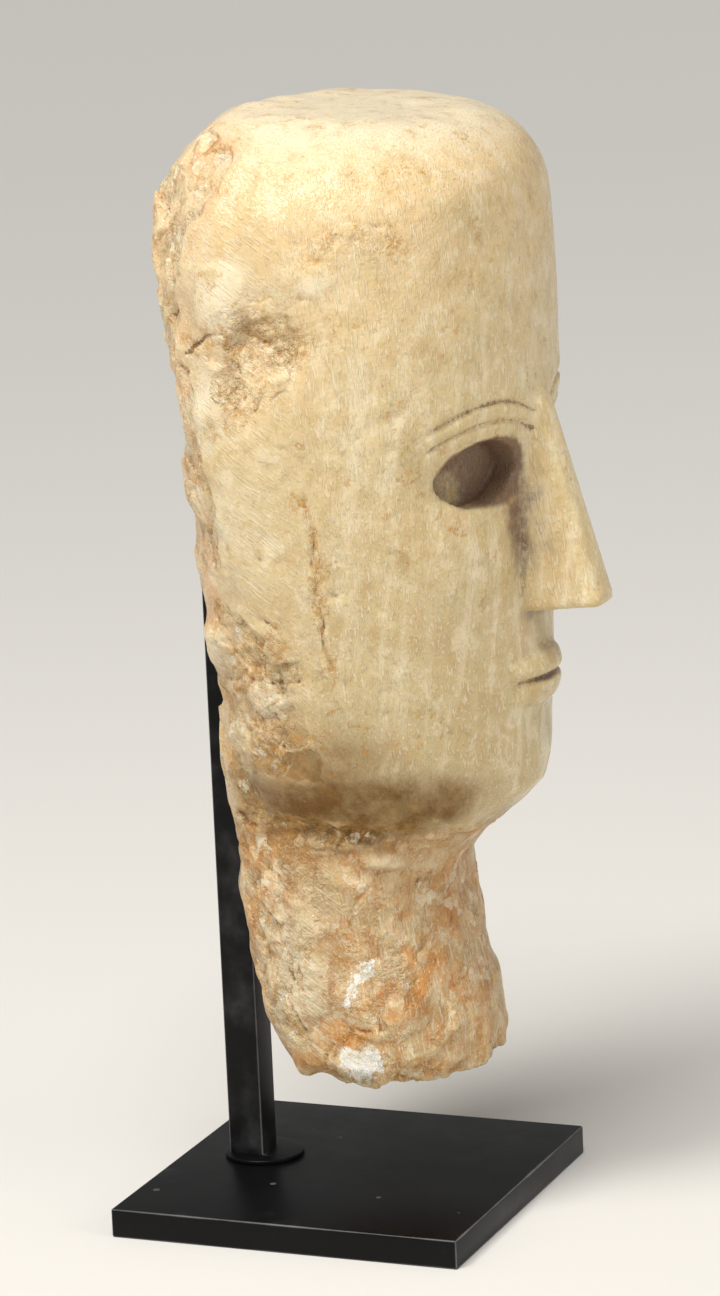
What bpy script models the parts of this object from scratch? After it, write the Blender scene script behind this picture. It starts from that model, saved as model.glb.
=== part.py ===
"""A funerary head carved in alabaster, held up by a square steel post on a square steel plate.

The head faces -Y, its proper left side is +X, and the plate's underside is z = 0 with the
origin at its centre. Lengths are in metres. The head is a loft of rounded sections from the
broken foot of the neck to the flat crown. Nose and lips are joined to it, and eye sockets,
brow lines, mouth and the seat for the post are cut from it.
"""
import math

import bmesh
import bpy
from mathutils import Matrix, Vector, noise

MM = 0.001
CLEARANCE = 0.3 * MM

# Stand
PLATE_SIDE = 100 * MM
PLATE_THICKNESS = 8 * MM
PLATE_EDGE = 0.6 * MM
POST_SIDE = 10 * MM
POST_LENGTH = 178 * MM
POST_EDGE = 0.5 * MM
POST_OFFSET_X = 4.6 * MM
POST_FOOT_DIAMETER = 22 * MM
POST_FOOT_THICKNESS = 1 * MM
POST_FOOT_FORWARD = 3.4 * MM
POST_FOOT_SEGMENTS = 40

# Head: its height, how far it hangs above the plate, how deep the post lies in its back
HEAD_HEIGHT = 263 * MM
HEAD_LIFT = 31 * MM
SEAT_DEPTH = 1.3 * MM

# The head's proportions below are thousandths of its height, measured from the neck's foot
CROWN_HEIGHT = 1000
SHARE = HEAD_HEIGHT / CROWN_HEIGHT
HEAD_FOOT_Z = PLATE_THICKNESS + HEAD_LIFT

# Height, half width, front and back of the sections
SECTIONS = (
    (0, 114, -160, 30),
    (19, 128, -168, 35),
    (42, 135, -169, 50),
    (80, 139, -161, 66),
    (137, 139, -151, 80),
    (194, 139, -140, 89),
    (231, 140, -139, 97),
    (266, 148, -175, 100),
    (301, 165, -212, 94),
    (338, 181, -222, 93),
    (384, 192, -224, 88),
    (422, 199, -225, 93),
    (479, 208, -227, 99),
    (536, 217, -230, 104),
    (593, 225, -233, 105),
    (650, 232, -237, 109),
    (708, 238, -239, 106),
    (764, 240, -240, 118),
    (810, 240, -240, 121),
    (856, 238, -239, 133),
    (897, 236, -237, 139),
    (CROWN_HEIGHT, 228, -232, 141),
)
WIDEST_Y = -22
FRONT_SQUARENESS = 2.3
BACK_SQUARENESS = 2.3
# The jaw's underside rises from the chin towards the back of the head
JAW_HEIGHT = 280
JAW_RISE = 34
JAW_SPREAD = 90
JAW_TURN = (-0.95, 0.1)
FOOT_RAGGED = 8
FOOT_WAVE = 33

# How far the crown's edge is rounded inwards and downwards at the back, side and front
CROWN_IN = (146, 110, 92)
CROWN_DOWN = (128, 116, 82)
CROWN_SLOPE = 0.07
CROWN_LEVEL_Y = -36

COLUMNS = 60
BODY_LEVELS = 42
CROWN_LEVELS = 7
CAP_RINGS = 4

# Face on the classical canon: three equal parts from chin to hairline, eyes at half height,
# the face five eyes wide
CHIN_HEIGHT = 290
FACE_THIRD = 202
HALF_FACE_WIDTH = 240
NOSE_BASE = CHIN_HEIGHT + FACE_THIRD
BROW_HEIGHT = NOSE_BASE + FACE_THIRD
MOUTH_HEIGHT = NOSE_BASE - FACE_THIRD / 3
EYE_HEIGHT = (CHIN_HEIGHT + CROWN_HEIGHT) / 2
EYE_WIDTH = 2 * HALF_FACE_WIDTH / 5
EYE_X = EYE_WIDTH

SOCKET_HALF_WIDTH = 0.62 * EYE_WIDTH
SOCKET_HALF_HEIGHT = 0.34 * EYE_WIDTH
SOCKET_DEPTH = 27
SOCKET_PINCH = 0.25
SOCKET_POINTS = 24

NOSE_ROOT_HALF = 14
NOSE_ROOT_RISE = 3
NOSE_ROOT_HEIGHT = 22
NOSE_TIP_HALF = 24
NOSE_TIP_RISE = 80
NOSE_WING_HALF = EYE_WIDTH / 2
NOSE_ROOT_SIDE = 34
NOSE_BURIED = 30
NOSE_UNDERCUT = 6
NOSE_EDGE = 9

# Half width, rise and half height of lips and mouth
UPPER_LIP = (0.68 * EYE_WIDTH, 14, 15)
LOWER_LIP = (0.60 * EYE_WIDTH, 14, 18)
LIP_LIFT = 0.72
MOUTH_SLIT = (0.64 * EYE_WIDTH, 11, 2.2)
MOUTH_SLIT_OUT = 13

BROW_HALF_SPAN = 78
BROW_ARCH = 22
BROW_LINE_RADIUS = 3.6
BROW_LINE_GAP = 19
BROW_LINE_STEPS = 14

# Swellings and hollows of the face: distance from the midline, height, spreads, rise.
# They fade out where the face turns into the sides.
FACE_EDGE = (0.05, 0.45)
FACE_FORMS = (
    (EYE_X, EYE_HEIGHT, 66, 44, -17),
    (0, CHIN_HEIGHT + 40, 62, 40, 10),
    (0, MOUTH_HEIGHT, 74, 46, 10),
    (130, EYE_HEIGHT - 90, 62, 60, 6),
    (0, BROW_HEIGHT, 150, 30, 7),
)

# Broken hollows on the sides and back: x, y, height, spread, depth
BREAKS = (
    (-238, -50, 792, 46, 12),
    (-228, 0, 740, 34, 9),
    (-205, 20, 770, 22, 8),
    (-180, 60, 905, 42, 9),
    (-205, 20, 520, 36, 8),
    (-190, 28, 455, 30, 11),
    (-172, 30, 392, 28, 10),
    (-158, 34, 330, 24, 9),
    (-196, 60, 590, 26, 7),
    (-150, 84, 712, 15, 7),
    (150, 90, 860, 46, 9),
    (200, 40, 640, 44, 7),
    (150, 60, 430, 50, 8),
    (-100, 20, 30, 34, 9),
    (-118, -26, 4, 20, 8),
    (-118, -120, 4, 22, 8),
    (95, 10, 40, 40, 10),
)
# Rough dressing of the back and the neck
BACK_ROUGHNESS = 8
BACK_FROM = (0.35, 0.85)
NECK_ROUGHNESS = 4
NECK_FADE = 40
ROUGH_WAVE = 42
ROUGH_DETAIL = (0.8, 2.0, 3)


def smooth_step(low, high, value):
    t = min(1.0, max(0.0, (value - low) / (high - low)))
    return t * t * (3 - 2 * t)


def bell(distance, spread):
    return math.exp(-(distance / spread) ** 2)


def rounded(value, power):
    return math.copysign(abs(value) ** power, value)


def section_at(height):
    """Half width, front and back at a height, on a smooth curve through the sections."""
    last = len(SECTIONS) - 1
    index = 0
    while index < last - 1 and height > SECTIONS[index + 1][0]:
        index += 1
    before, low, high, after = (SECTIONS[max(0, min(last, index + step))]
                                for step in (-1, 0, 1, 2))
    span = high[0] - low[0]
    t = min(1.0, max(0.0, (height - low[0]) / span))
    values = []
    for column in (1, 2, 3):
        slope_low = (high[column] - before[column]) / (high[0] - before[0]) * span
        slope_high = (after[column] - low[column]) / (after[0] - low[0]) * span
        values.append((2 * t**3 - 3 * t**2 + 1) * low[column] + (t**3 - 2 * t**2 + t) * slope_low
                      + (3 * t**2 - 2 * t**3) * high[column] + (t**3 - t**2) * slope_high)
    return values


def face_relief(x, height):
    """How far the face stands forward of the plain section."""
    return sum(rise * bell(abs(x) - centre, spread_x) * bell(height - level, spread_z)
               for centre, level, spread_x, spread_z, rise in FACE_FORMS)


def outline_point(angle, height):
    """The point of the section's outline in one direction."""
    across, along = math.cos(angle), math.sin(angle)
    sideways = smooth_step(*JAW_TURN, along)
    height -= JAW_RISE * sideways * bell(height - JAW_HEIGHT, JAW_SPREAD)
    half_width, front, back = section_at(height)
    if along > 0:
        power, reach = 2 / BACK_SQUARENESS, back - WIDEST_Y
    else:
        power, reach = 2 / FRONT_SQUARENESS, WIDEST_Y - front
    x = half_width * rounded(across, power)
    facing = smooth_step(*FACE_EDGE, -along)
    return x, WIDEST_Y + reach * rounded(along, power) - facing * face_relief(x, height)


def face_surface(x, height):
    """The Y of the face's surface at a place of the front view."""
    half_width, front, _ = section_at(height)
    share = max(0.0, 1 - (abs(x) / half_width) ** FRONT_SQUARENESS)
    depth = (WIDEST_Y - front) * share ** (1 / FRONT_SQUARENESS)
    return WIDEST_Y - depth - face_relief(x, height)


def by_direction(values, angle):
    """A value given for back, side and front, mixed for one direction."""
    back, side, front = values
    along = math.sin(angle)
    return side + ((back if along > 0 else front) - side) * along**2


def foot_height(angle):
    x, y = outline_point(angle, 0)
    return FOOT_RAGGED * (1 + noise.noise(Vector((x, y, 0)) / FOOT_WAVE))


def column_points(angle):
    """One column of the loft, from the foot to the edge of the flat crown."""
    down = by_direction(CROWN_DOWN, angle)
    inwards = by_direction(CROWN_IN, angle)
    foot = foot_height(angle)
    top_y = outline_point(angle, CROWN_HEIGHT)[1] - inwards * math.sin(angle)
    edge = CROWN_HEIGHT + CROWN_SLOPE * (top_y - CROWN_LEVEL_Y) - down
    points = []
    for level in range(BODY_LEVELS + 1):
        height = foot + (edge - foot) * level / BODY_LEVELS
        points.append((*outline_point(angle, height), height))
    for level in range(1, CROWN_LEVELS + 1):
        turn = math.pi / 2 * level / CROWN_LEVELS
        height = edge + down * math.sin(turn)
        x, y = outline_point(angle, height)
        inset = inwards * (1 - math.cos(turn))
        points.append((x - inset * math.cos(angle), y - inset * math.sin(angle), height))
    return points


def shrunk(ring, scale):
    centre = sum((Vector(point) for point in ring), Vector()) / len(ring)
    return [centre + (Vector(point) - centre) * scale for point in ring]


def weathering(point):
    """How far rough work, breaks and wear move a point of the surface outwards."""
    x, y, height = point
    back = section_at(height)[2]
    behind = smooth_step(*BACK_FROM, (y - WIDEST_Y) / (back - WIDEST_Y))
    neck = smooth_step(JAW_HEIGHT, JAW_HEIGHT - NECK_FADE, height)
    rough = max(BACK_ROUGHNESS * behind, NECK_ROUGHNESS * neck)
    moved = rough * noise.fractal(point / ROUGH_WAVE, *ROUGH_DETAIL)
    for bx, by, level, spread, depth in BREAKS:
        moved -= depth * bell((point - Vector((bx, by, level))).length, spread)
    return moved


def lofted_body():
    """The head's body as a loft of closed rings, capped by shrinking rings."""
    columns = [column_points(2 * math.pi * step / COLUMNS) for step in range(COLUMNS)]
    rings = [[column[level] for column in columns] for level in range(len(columns[0]))]
    scales = [1 - step / (CAP_RINGS + 1) for step in range(1, CAP_RINGS + 1)]
    rings = ([shrunk(rings[0], scale) for scale in reversed(scales)] + rings
             + [shrunk(rings[-1], scale) for scale in scales])
    mesh = bmesh.new()
    lofted = [[mesh.verts.new(point) for point in ring] for ring in rings]
    for lower, upper in zip(lofted, lofted[1:]):
        for step in range(COLUMNS):
            after = (step + 1) % COLUMNS
            mesh.faces.new((lower[step], lower[after], upper[after], upper[step]))
    ends = [mesh.faces.new(lofted[0][::-1]), mesh.faces.new(lofted[-1])]
    bmesh.ops.poke(mesh, faces=ends)
    bmesh.ops.recalc_face_normals(mesh, faces=mesh.faces)
    mesh.normal_update()
    moves = [(vert, vert.normal * weathering(vert.co)) for vert in mesh.verts]
    for vert, move in moves:
        vert.co += move
    return mesh


def laid_on_face(mesh):
    """Bends a shape modelled flat, with its depth along Y, on to the face's surface."""
    for vert in mesh.verts:
        vert.co.y += face_surface(vert.co.x, vert.co.z)
    return mesh


def nose():
    """A straight wedge from brow to tip, wider behind and below, with worn edges."""
    mesh = bmesh.new()
    bmesh.ops.create_cube(mesh, size=2)
    for vert in mesh.verts:
        side, behind, above = vert.co.x, vert.co.y > 0, vert.co.z > 0
        if above:
            half = NOSE_ROOT_SIDE if behind else NOSE_ROOT_HALF
            depth, height = -NOSE_ROOT_RISE, BROW_HEIGHT + NOSE_ROOT_HEIGHT
        else:
            half = NOSE_WING_HALF if behind else NOSE_TIP_HALF
            depth, height = -NOSE_TIP_RISE, NOSE_BASE + (0 if behind else NOSE_UNDERCUT)
        vert.co = (side * half, NOSE_BURIED if behind else depth, height)
    bmesh.ops.bevel(mesh, geom=list(mesh.edges), offset=NOSE_EDGE, offset_type="OFFSET",
                    segments=3, profile=0.5, affect="EDGES", material=-1, clamp_overlap=True)
    return laid_on_face(mesh)


def cushion(size, depth, height):
    """A ball on the face, stretched to half width, rise and half height, for lips and mouth."""
    mesh = bmesh.new()
    bmesh.ops.create_uvsphere(mesh, u_segments=20, v_segments=10, radius=1,
                              matrix=Matrix.Rotation(math.pi / 2, 4, "Y"))
    bmesh.ops.scale(mesh, vec=size, verts=mesh.verts)
    bmesh.ops.translate(mesh, vec=(0, depth, height), verts=mesh.verts)
    return laid_on_face(mesh)


def upper_lip():
    return cushion(UPPER_LIP, 0, MOUTH_HEIGHT + UPPER_LIP[2] * LIP_LIFT)


def lower_lip():
    return cushion(LOWER_LIP, 0, MOUTH_HEIGHT - LOWER_LIP[2] * LIP_LIFT)


def mouth_slit():
    return cushion(MOUTH_SLIT, -MOUTH_SLIT_OUT, MOUTH_HEIGHT)


def socket(side):
    """An almond recess for a lost inlaid eye, with a flat floor and straight walls."""
    mesh = bmesh.new()
    bmesh.ops.create_circle(mesh, segments=SOCKET_POINTS, radius=1, cap_ends=True)
    for vert in mesh.verts:
        across, up = vert.co.x, vert.co.y
        pinch = 1 - SOCKET_PINCH * abs(across) ** 3
        vert.co = (side * EYE_X + SOCKET_HALF_WIDTH * across, -2 * SOCKET_DEPTH,
                   EYE_HEIGHT + SOCKET_HALF_HEIGHT * up * pinch)
    walls = bmesh.ops.extrude_face_region(mesh, geom=list(mesh.faces))
    floor = [item for item in walls["geom"] if isinstance(item, bmesh.types.BMVert)]
    bmesh.ops.translate(mesh, vec=(0, 3 * SOCKET_DEPTH, 0), verts=floor)
    bmesh.ops.recalc_face_normals(mesh, faces=mesh.faces)
    return laid_on_face(mesh)


def brow_line(side, drop):
    """A shallow incised arch over one eye."""
    radius = (BROW_HALF_SPAN**2 + BROW_ARCH**2) / (2 * BROW_ARCH)
    centre = Vector((side * EYE_X, 0, BROW_HEIGHT + BROW_ARCH - drop - radius))
    half_turn = math.asin(BROW_HALF_SPAN / radius)
    mesh = bmesh.new()
    start = (Matrix.Translation(centre) @ Matrix.Rotation(-half_turn, 4, "Y")
             @ Matrix.Translation((0, 0, radius)) @ Matrix.Rotation(math.pi / 2, 4, "Y"))
    ring = bmesh.ops.create_circle(mesh, segments=6, radius=BROW_LINE_RADIUS, matrix=start)
    bmesh.ops.spin(mesh, geom=ring["verts"] + list(mesh.edges), cent=centre, axis=(0, 1, 0),
                   angle=2 * half_turn, steps=BROW_LINE_STEPS, use_merge=False)
    bmesh.ops.holes_fill(mesh, edges=mesh.edges)
    bmesh.ops.recalc_face_normals(mesh, faces=mesh.faces)
    return laid_on_face(mesh)


def in_metres(mesh):
    """Turns thousandths of the head's height into its place above the plate."""
    bmesh.ops.scale(mesh, vec=(SHARE, SHARE, SHARE), verts=mesh.verts)
    bmesh.ops.translate(mesh, vec=(0, 0, HEAD_FOOT_Z), verts=mesh.verts)
    return mesh


def box(low, high):
    mesh = bmesh.new()
    bmesh.ops.create_cube(mesh, size=1)
    low, high = Vector(low), Vector(high)
    bmesh.ops.scale(mesh, vec=high - low, verts=mesh.verts)
    bmesh.ops.translate(mesh, vec=(low + high) / 2, verts=mesh.verts)
    return mesh


def bar_with_edges(low, high, edge):
    """A steel bar or plate with all its edges broken."""
    mesh = box(low, high)
    bmesh.ops.bevel(mesh, geom=list(mesh.edges), offset=edge, offset_type="OFFSET", segments=2,
                    profile=0.5, affect="EDGES", material=-1, clamp_overlap=True)
    return mesh


def post_front_y():
    """The post's front lies in the stone where the back beside it stands out furthest."""
    post_top = (PLATE_THICKNESS + POST_LENGTH - HEAD_FOOT_Z) / SHARE
    reach = max(section_at(height)[2] for height in range(0, int(post_top)))
    return reach * SHARE - SEAT_DEPTH


def new_object(name, mesh, collection, material=None):
    data = bpy.data.meshes.new(name)
    mesh.to_mesh(data)
    mesh.free()
    if material:
        data.materials.append(material)
    item = bpy.data.objects.new(name, data)
    collection.objects.link(item)
    return item


def new_material(name, colour, roughness, metallic=0.0):
    material = bpy.data.materials.new(name)
    material.use_nodes = True
    shader = material.node_tree.nodes["Principled BSDF"]
    shader.inputs["Base Color"].default_value = (*colour, 1)
    shader.inputs["Roughness"].default_value = roughness
    shader.inputs["Metallic"].default_value = metallic
    material.diffuse_color = (*colour, 1)
    return material


def combine(target, tool, operation):
    """Joins a tool to the target or cuts it out, and hides the tool."""
    tool.hide_render = True
    tool.display_type = "WIRE"
    modifier = target.modifiers.new(tool.name, "BOOLEAN")
    modifier.operation = operation
    modifier.solver = "EXACT"
    modifier.object = tool


def base_plate(collection, steel):
    half = PLATE_SIDE / 2
    mesh = bar_with_edges((-half, -half, 0), (half, half, PLATE_THICKNESS), PLATE_EDGE)
    return new_object("base_plate", mesh, collection, steel)


def post_foot():
    """The thin round foot of the post, standing forward of the bar's middle."""
    mesh = bmesh.new()
    bmesh.ops.create_cone(mesh, segments=POST_FOOT_SEGMENTS, cap_ends=True, cap_tris=False,
                          radius1=POST_FOOT_DIAMETER / 2, radius2=POST_FOOT_DIAMETER / 2,
                          depth=POST_FOOT_THICKNESS)
    middle = (POST_OFFSET_X, post_front_y() + POST_SIDE / 2 - POST_FOOT_FORWARD,
              PLATE_THICKNESS + CLEARANCE + POST_FOOT_THICKNESS / 2)
    bmesh.ops.translate(mesh, vec=middle, verts=mesh.verts)
    return mesh


def post(collection, tools, steel):
    """The bar, with its lower edges inside the round foot that it is joined to."""
    half, front = POST_SIDE / 2, post_front_y()
    low = (POST_OFFSET_X - half, front, PLATE_THICKNESS + CLEARANCE + POST_FOOT_THICKNESS / 4)
    high = (POST_OFFSET_X + half, front + POST_SIDE, PLATE_THICKNESS + POST_LENGTH)
    bar = new_object("post", bar_with_edges(low, high, POST_EDGE), collection, steel)
    combine(bar, new_object("post_foot", post_foot(), tools), "UNION")
    return bar


def post_seat():
    """The space the post needs in the stone, open behind and below."""
    half, front = POST_SIDE / 2 + CLEARANCE, post_front_y() - CLEARANCE
    low = (POST_OFFSET_X - half, front, 0)
    high = (POST_OFFSET_X + half, front + 3 * POST_SIDE,
            PLATE_THICKNESS + POST_LENGTH + CLEARANCE)
    return box(low, high)


def head(collection, tools, stone):
    body = new_object("head", in_metres(lofted_body()), collection, stone)
    for name, mesh in (("nose", nose()), ("upper_lip", upper_lip()), ("lower_lip", lower_lip())):
        combine(body, new_object(name, in_metres(mesh), tools), "UNION")
    cuts = [("mouth_slit", mouth_slit())]
    for side, word in ((-1, "right"), (1, "left")):
        cuts.append((word + "_eye_socket", socket(side)))
        cuts.append((word + "_brow_line", brow_line(side, 0)))
        cuts.append((word + "_lower_brow_line", brow_line(side, BROW_LINE_GAP)))
    for name, mesh in cuts:
        combine(body, new_object(name, in_metres(mesh), tools), "DIFFERENCE")
    combine(body, new_object("post_seat", post_seat(), tools), "DIFFERENCE")
    return body


def main():
    for item in list(bpy.data.objects):
        bpy.data.objects.remove(item)
    parts = bpy.data.collections.new("alabaster_head")
    tools = bpy.data.collections.new("cutters")
    for collection in (parts, tools):
        bpy.context.scene.collection.children.link(collection)
    stone = new_material("alabaster", (0.72, 0.60, 0.40), 0.5)
    steel = new_material("black_steel", (0.012, 0.012, 0.014), 0.35)
    base_plate(parts, steel)
    post(parts, tools, steel)
    head(parts, tools, stone)


main()
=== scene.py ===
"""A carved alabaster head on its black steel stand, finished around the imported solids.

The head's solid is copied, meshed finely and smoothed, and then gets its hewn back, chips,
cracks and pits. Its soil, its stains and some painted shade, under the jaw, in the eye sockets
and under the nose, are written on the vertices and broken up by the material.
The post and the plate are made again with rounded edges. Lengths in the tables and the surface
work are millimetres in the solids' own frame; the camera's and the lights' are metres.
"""

import itertools
import math

import bmesh
import bpy
import numpy as np
from bpy.props import FloatProperty, FloatVectorProperty, PointerProperty
from mathutils import Matrix, Vector, kdtree


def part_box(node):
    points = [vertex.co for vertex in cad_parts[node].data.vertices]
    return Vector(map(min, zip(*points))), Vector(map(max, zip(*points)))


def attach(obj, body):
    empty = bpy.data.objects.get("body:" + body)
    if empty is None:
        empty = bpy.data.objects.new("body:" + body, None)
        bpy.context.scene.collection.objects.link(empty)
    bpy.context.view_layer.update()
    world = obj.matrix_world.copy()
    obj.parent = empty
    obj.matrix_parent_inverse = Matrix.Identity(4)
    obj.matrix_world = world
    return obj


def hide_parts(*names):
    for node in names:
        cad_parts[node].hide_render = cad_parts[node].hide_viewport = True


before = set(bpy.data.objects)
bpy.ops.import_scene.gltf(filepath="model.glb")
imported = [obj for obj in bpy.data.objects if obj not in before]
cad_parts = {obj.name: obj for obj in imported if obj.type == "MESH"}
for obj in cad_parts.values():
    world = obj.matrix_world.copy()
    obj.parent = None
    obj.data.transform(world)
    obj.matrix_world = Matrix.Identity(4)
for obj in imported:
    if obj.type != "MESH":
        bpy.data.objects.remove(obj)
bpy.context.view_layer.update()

bl_info = {
    "name": "Alabaster head on a stand",
    "version": (1, 0, 0),
    "blender": (4, 5, 0),
    "location": "3D View > Sidebar > Alabaster Head",
    "description": "Builds a carved alabaster head, its black steel stand and a studio stage",
    "category": "Object",
}

MM = 0.001
BUMP = 0.5 * MM

# Surface mesh of the head
DOUBLES = 0.01 * MM
VOXEL = 0.75
MOST_TRIANGLES = 196000
SHARP_TURN = math.radians(26)
SMOOTH_STEPS = 110
EDGE_KEPT = (0.8, 5.0)
EDGE_SMOOTHING = 0.05
WEIGHT_STEPS = 32

# Places on the head
EYE_X, EYE_Z = 25.2, 208.6
EYE_HALF = (15.6, 8.6)
NOSE_FOOT_Z = 168.4
MOUTH_Z, MOUTH_HALF = 150.7, 15.5
JAW_Z = 113.0
CREASE_Z = 114.3
FOOT_Z = 40.6
BACK_FROM = (3.0, 13.0)
# How much each axis counts in a gap to a line
LINE_AXES = (0.5, 1, 1)

# Single places: centre, spread
BOSS = ((-31, -25.5, 67), (14, 11, 10))
CLEAR_NECK = ((-36, 2, 78), (14, 13, 17))
BESIDE_POST = ((4.6, 27, 110), (9, 6, 400))
NOSE_SIDE = ((13, 60, 194), (8, 14, 20))
# Places painted with shade under the nose and between the lips
UNDER_NOSE = ((0, -68, NOSE_FOOT_Z - 1.2), (13, 12, 2.6))
BETWEEN_LIPS = ((0, -64, MOUTH_Z), (17, 12, 1.5))

# Carved brow lines: radius and half turn of the arches, height of each top and its depth
BROW_RADIUS, BROW_HALF_TURN = 39.26, math.radians(31.5)
BROWS = ((227.3, 0.85), (222.3, 0.7))

# The stand's edges
SHARP_EDGE = math.radians(40)
FOOT_RIM = 0.35 * MM
EDGE_WEAR_AND_HIGHLIGHT_REACH = 1.2

# Camera at the photo's angle: place; turn, rise and roll in degrees; sensor, lens and reach
CAMERA_PLACE = (-1.21755, -0.51474, 0.45128)
CAMERA_ANGLES = (-67.46, 12.67, -2.53)
CAMERA_OPTICS = (36, 139.86, 50)

# Soft lights: name, place, target, size, colour
LIGHTS = (
    ("key", (-0.62, 0.26, 1.15), (0, -0.01, 0.19), 0.4, (1, 0.98, 0.94)),
    ("fill", (-0.35, -1.5, 0.75), (0, -0.01, 0.18), 0.9, (1, 0.97, 0.93)),
)
SUN_FROM, SUN_WIDTH = (-0.5, -0.1, 1), math.radians(30)

# Broken areas: centre, spread, strength
BROKEN = (
    ((-54, 8, 287), (12, 9, 12), 0.65),
    ((-47, 3, 293), (12, 6, 8), 0.6),
    ((-46, 22, 270), (14, 9, 26), 0.8),
    ((-61, -11, 247), (9, 13, 12), 0.9),
    ((-60, -3, 236), (8, 7, 7), 0.7),
    ((-57, -32, 273), (9, 14, 6), 0.5),
    ((-54, 11, 205), (8, 7, 26), 0.7),
    ((-52, 0, 163), (10, 13, 13), 1.05),
    ((-46, 4, 141), (12, 14, 15), 1),
    ((-36, -8, 113), (12, 24, 6), 0.8),
    ((-34, 2, 78), (12, 12, 34), 0.8),
    ((-30, -30, 60), (12, 20, 24), 0.5),
    ((60, -12, 240), (8, 14, 16), 0.9),
    ((46, 8, 150), (14, 12, 50), 0.85),
    ((48, 12, 286), (16, 12, 16), 0.9),
    ((0, -12, 38), (60, 60, 8), 0.9),
)
# Swellings left between the breaks: centre, spread, height
LOBES = (
    ((-62, -1, 258.5), (7, 6.5, 8.5), 0.5),
    ((-54, 4, 296), (6, 7, 5), 0.6),
    ((-37, -9, 110), (5, 4.5, 1.8), 1.6),
    ((-36.6, -17.5, 110.2), (5, 3.5, 1.7), 1.6),
    ((-32, -25.5, 105), (5, 4, 1.9), 1.5),
    ((-28, -29.5, 103.4), (5, 3, 1.6), 1.2),
    ((57, 2, 226), (6, 7, 12), 0.8),
    ((-20, 10, 301), (18, 9, 8), 1.4),
    ((2, 8, 302), (18, 9, 8), 1.1),
    ((33, -4, 302), (14, 18, 8), -0.9),
    ((-49, 4, 292), (9, 6, 7), -0.8),
    ((-60.5, -15, 252), (8, 9, 6), 0.5),
    ((-36, 29, 279), (14, 10, 12), -1.4),
)
# Lumps with a definite border: centre, half size, height
LUMPS = (
    ((-62, -0.7, 258.5), (12, 8, 11), 1.4),
    ((-59.5, 5, 234.5), (12, 8, 9), 1.2),
    ((-59.5, -25, 264), (12, 7, 5), 0.7),
    ((-31, -25.5, 67), (14, 13, 12), 1.7),
    ((-53, -3, 152.5), (12, 8, 5), 1),
    ((-44, 13.5, 163.5), (12, 7, 7), 0.9),
    ((-40, 11, 139.5), (12, 7, 5), 0.8),
)
# Crumbly areas, sunk and layered: centre, spread, depth
CRUMBLY = (
    ((-61, -12, 247), (14, 12.5, 11.5), 0.5),
    ((-60, -4, 236), (12, 7, 6), 0.5),
    ((-61.5, -14, 257), (12, 8, 5), 0.5),
    ((-59.6, -24, 248), (12, 7, 4), 0.7),
    ((-61, -1, 249.5), (12, 6, 3), 0.6),
    ((-57, -31, 273), (14, 13, 5), 0.4),
    ((-51, -42, 271), (12, 9, 4), 0.35),
    ((-52, -2, 160), (14, 11, 9), 0.3),
    ((-36, -12, 112.5), (12, 18, 4), 0.4),
    ((60, -14, 236), (14, 12, 12), 0.8),
)
# Chips: centre, spread, how many, smallest and largest radius, depth by radius
CHIPS = (
    ((-40, 20, 175), (7, 6, 95), 44, 6, 11, 0.22),
    ((-51, 9, 190), (6, 6, 85), 34, 4, 8, 0.15),
    ((0, 30, 170), (52, 10, 130), 110, 5, 13, 0.13),
    ((-53, 10, 286), (8, 9, 12), 16, 5, 10, 0.13),
    ((-50, 1, 155), (7, 11, 18), 26, 3, 8, 0.17),
    ((-61, -8, 243), (6, 10, 10), 10, 2.5, 5, 0.12),
    ((48, 12, 170), (9, 10, 100), 50, 4, 10, 0.15),
    ((0, -14, 78), (40, 36, 34), 46, 4, 11, 0.07),
    ((0, -14, 42), (38, 34, 4), 40, 4, 10, 0.16),
    ((-36, -12, 112), (8, 20, 4), 14, 3, 7, 0.12),
)
# Cracks: points along them, half width, depth
CRACKS = (
    (((-58.1, -22, 199.4), (-57.5, -21.5, 193.8), (-56.5, -21.2, 185.5), (-55.3, -20.9, 177.4),
      (-53.7, -21.4, 167.8), (-52.3, -23.1, 161.5)), 0.7, 0.9),
    (((-57.6, 11.5, 244.1), (-61.1, 4.1, 248.5), (-61.7, -1.2, 250.2)), 0.8, 1.3),
    (((-58, -28, 278), (-54.5, -35, 278.6), (-50.4, -42.2, 276.6)), 0.6, 0.5),
    (((-44.3, 10.9, 155.1), (-51.8, 0.8, 160.3), (-54.4, -5.9, 164.3)), 0.8, 1.3),
    (((-50, 3, 157.5), (-53.2, -10.4, 157.1), (-52.4, -13.5, 158.5)), 0.8, 1.1),
    (((-56.5, -1, 176), (-55.7, -5.8, 174.2), (-54.8, -12, 171)), 0.7, 0.9),
    (((-47, 5, 146), (-49, -4, 144), (-50, -12, 147)), 0.7, 0.8),
    (((-35.5, -9.8, 52.8), (-34, -8.6, 48.5), (-31.7, -7.8, 44.5)), 0.6, 1),
    (((-37.5, -20, 115.2), (-36.4, -24.5, 114.3), (-35, -28.5, 113.4)), 0.9, 0.9),
    (((-55.1, 6, 287), (-54.6, 0.8, 290)), 0.7, 0.7),
    (((-50, 17, 281), (-54.4, 9, 284.5)), 0.6, 0.7),
    (((-28, -30, 74), (-22, -35, 80), (-21, -36, 88)), 0.6, 0.5),
    (((46, 6, 170), (52, -4, 168), (54, -12, 172)), 0.8, 0.8),
    (((55, -20, 236), (56, -26, 226), (54, -30, 214)), 0.7, 0.6),
)
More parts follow.
